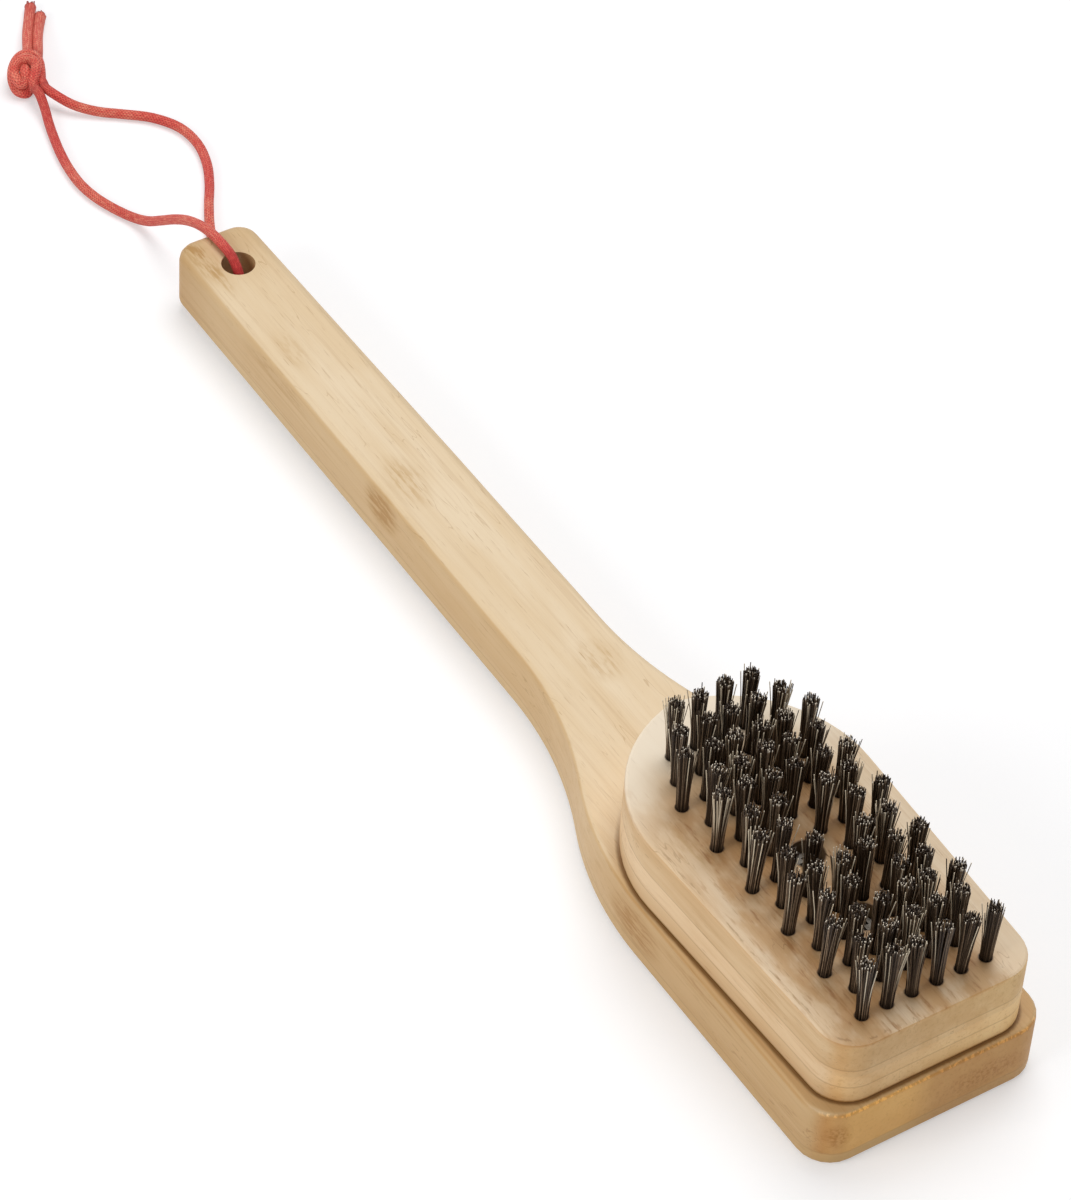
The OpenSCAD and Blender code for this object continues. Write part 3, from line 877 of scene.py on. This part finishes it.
# Painted highlight on the strays whose tint is above 1.2.
colour = blended(fade(wire_tint, 1.2, 1.5) * fade(wire_rise, 0.3, 0.7), colour, (0.70, 0.60, 0.45))
# Painted shade low down on every wire, between the wires.
colour = blended(1 - fade(wire_rise, 0.06, 0.30), colour, (0.020, 0.011, 0.006))
feed(shader, Base_Color=colour, Roughness=0.52 - wire_tint * 0.14)
print("wire finish:", len(wire_metal.node_tree.nodes), "nodes")

# %% [markdown]
# The rows stand where the CAD source has drilled the holes: six and five tufts by turns, four in
# the last row, and none in or between the screw recesses. Each tuft leans and turns by chance.

# %% Rows of tufts in the block's holes
BLOCK_TOP, ROWS = 52.0, 13
RECESS_CLEAR = 8.25


def row_spots(row):
    """The tuft places of a row on the board, without those that a screw recess takes."""
    count = 4 if row == ROWS - 1 else (6 if row % 2 == 0 else 5)
    along_x = -FIRST_ROW - ROW_PITCH * row
    spots = []
    for i in range(count):
        across_y = (i - (count - 1) / 2) * TUFT_PITCH
        taken = any(math.hypot(along_x + s, across_y) < RECESS_CLEAR for s in SCREWS_IN)
        between = abs(across_y) < 0.1 and -SCREWS_IN[1] < along_x < -SCREWS_IN[0] - ROW_PITCH
        if not (taken or between):
            spots.append((along_x, across_y))
    return spots


def tilted(seed, axis):
    """A tilt by chance of up to two degrees, the same on every run."""
    return Matrix.Rotation(math.radians(random.Random(seed).uniform(-2.2, 2.2)), 4, axis)


tuft_count = 0
for row in range(ROWS):
    parts = []
    for x_mm, y_mm in row_spots(row):
        kind = tuft_kinds[(tuft_count * 5 + row) % len(tuft_kinds)]
        leaning = tilted(tuft_count, "X"), tilted(tuft_count + 99, "Y")
        turned = Matrix.Rotation(random.Random(tuft_count + 7).uniform(0, 6.28), 4, "Z")
        stand = place_wood @ Matrix.Scale(MM, 4) @ Matrix.Translation((x_mm, y_mm, BLOCK_TOP))
        parts.append(twin(kind, "tuft", stand @ leaning[0] @ leaning[1] @ turned))
        tuft_count += 1
    tufts = joined(parts, f"wire_tufts_{row + 1}")
    tufts.data.materials.clear()
    tufts.data.materials.append(wire_metal)
    finished(tufts, "tuft_wire", f"tuft_row_{row + 1}")
print("tufts in the block:", tuft_count)
for model in (wire, *tuft_kinds):
    bpy.data.objects.remove(model)

# %% [markdown]
# ## Screws and tuft anchors
# Two wood screws hold the block on the board, deep in their recesses, and a flat staple holds
# each tuft at the foot of its hole. The CAD's own solids are right for both, so they only get a
# brushed steel with fine lines and a little tarnish.

# %% Steel
steel, shader, place = new_material("screw_steel", Metallic=1.0)
tarnish = noise(place, 260.0, 4.0)
brushed = noise(stretched(place, (300, 4000, 300)), detail=2.0)
colour = blended(fade(tarnish, 0.45, 0.7), (0.20, 0.18, 0.155), (0.09, 0.065, 0.045))
feed(shader, Base_Color=colour, Roughness=0.38 + tarnish * 0.25, Normal=relief(brushed, 0.02 * MM, 0.5))
for name in ("block_screws", "tuft_anchors"):
    mesh = nodes[name].data
    mesh.materials.clear()
    mesh.materials.append(steel)
    print(name, "keeps its CAD shape,", len(mesh.polygons), "faces")

# %% [markdown]
# ## Floor, backdrop and light
# The photograph has a pure white ground with a soft shadow, and light that falls from above and a
# little behind. The floor is pale for the light that it throws back, and white only for what the
# camera, a gloss or a glass sees, so the object is never over-lit to get a white ground.

# %% Floor
bpy.ops.object.select_all(action="DESELECT")
bpy.ops.mesh.primitive_plane_add(size=8, location=(0, 0, -0.0002))
floor = bpy.context.object
floor.name = "floor"
floor_material, shader, _ = new_material("floor_pale", Roughness=0.9, Emission_Strength=0.38)
shader.inputs["Specular IOR Level"].default_value = 0.0
looked_at = seen(floor_material.node_tree)
feed(
    shader, Base_Color=blended(looked_at, (0.80, 0.79, 0.78), (0.69, 0.69, 0.70)),
    Emission_Color=blended(looked_at, (0, 0, 0), (1, 1, 1)),
)
floor.data.materials.append(floor_material)
print("floor:", round(floor.dimensions.x, 1), "m wide")

# %% World and lamps
world = bpy.data.worlds.new("studio")
world.use_nodes = True
bpy.context.scene.world = world
sky = world.node_tree.nodes["Background"]
sky_colour = blended(seen(world.node_tree), (0.40, 0.40, 0.40), (1.0, 1.0, 1.0))
world.node_tree.links.new(sky_colour.socket, sky.inputs["Color"])


def softbox(name, place, aim, size, watts):
    """A square lamp at a place, facing a point."""
    bpy.ops.object.select_all(action="DESELECT")
    bpy.ops.object.light_add(type="AREA", location=place)
    lamp = bpy.context.object
    lamp.name = name
    lamp.data.size = size
    lamp.data.energy = watts
    lamp.rotation_mode = "QUATERNION"
    lamp.rotation_quaternion = (Vector(aim) - Vector(place)).to_track_quat("-Z", "Y")
    print(name, "lamp:", watts, "W")


softbox("key", (-0.35, 0.45, 1.6), (0.05, 0, 0), 1.1, 15)
softbox("fill", (0.15, -1.3, 0.75), (0, 0, 0), 0.8, 8)

# %% The colour view
scene = bpy.context.scene
scene.view_settings.view_transform = "Standard"
